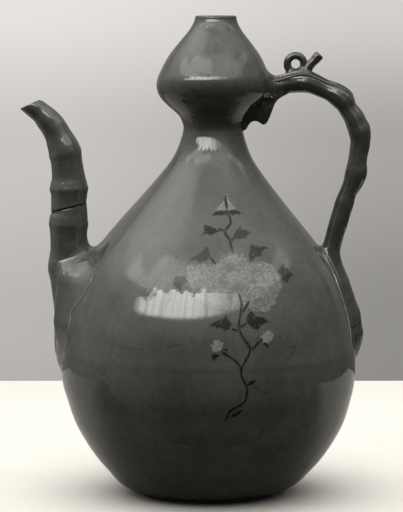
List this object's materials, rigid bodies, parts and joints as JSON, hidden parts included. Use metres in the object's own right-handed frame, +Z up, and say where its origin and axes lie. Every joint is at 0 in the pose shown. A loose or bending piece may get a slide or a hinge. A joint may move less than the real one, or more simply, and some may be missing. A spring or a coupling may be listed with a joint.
{
  "type": "wine ewer",
  "caption": "Gourd-shaped celadon wine ewer with a bamboo-like spout, a branch handle with a cord ring, and an inlaid flower spray.",
  "frame": {"origin": "on the table, under the middle of the foot; the claim names the hollowed underside of the base, which lies 1.8 mm above the table", "axes": "+Z up, +X from the vessel's axis towards the handle, -X towards the spout, -Y out of the inlaid front"},
  "size_m": [0.2487, 0.21, 0.34],
  "materials": {
    "celadon": "glossy grey-green glaze with a fine crackle",
    "celadon_handle": "glossy grey-green glaze, a little thicker and darker",
    "white_slip": "white slip under the glaze",
    "dark_slip": "dark iron slip under the glaze"
  },
  "bodies": {
    "root": {"lower_bulb": "celadon", "upper_bulb": "celadon", "spout_root": "celadon", "spout_tip": "celadon", "handle_branch": "celadon_handle", "handle_sheath": "celadon_handle", "handle_leaf": "celadon_handle", "cord_ring": "celadon_handle", "handle_twig": "celadon_handle", "bud": "white_slip", "peony_petal_1": "white_slip", "peony_petal_2": "white_slip", "peony_petal_3": "white_slip", "peony_petal_4": "white_slip", "peony_petal_5": "white_slip", "peony_petal_6": "white_slip", "peony_petal_7": "white_slip", "peony_heart": "white_slip", "small_blossom_left": "white_slip", "small_blossom_right": "white_slip", "bud_sepals": "dark_slip", "stem_upper": "dark_slip", "stem_lower": "dark_slip", "leaf_bud": "dark_slip", "leaf_top_right": "dark_slip", "leaf_right": "dark_slip", "leaf_left": "dark_slip", "leaf_far_right": "dark_slip", "leaf_far_left": "dark_slip", "leaf_pair_left": "dark_slip", "leaf_pair_right": "dark_slip", "leaf_low_right": "dark_slip", "leaf_root": "dark_slip", "leaf_small": "dark_slip"}
  },
  "joints": []
}
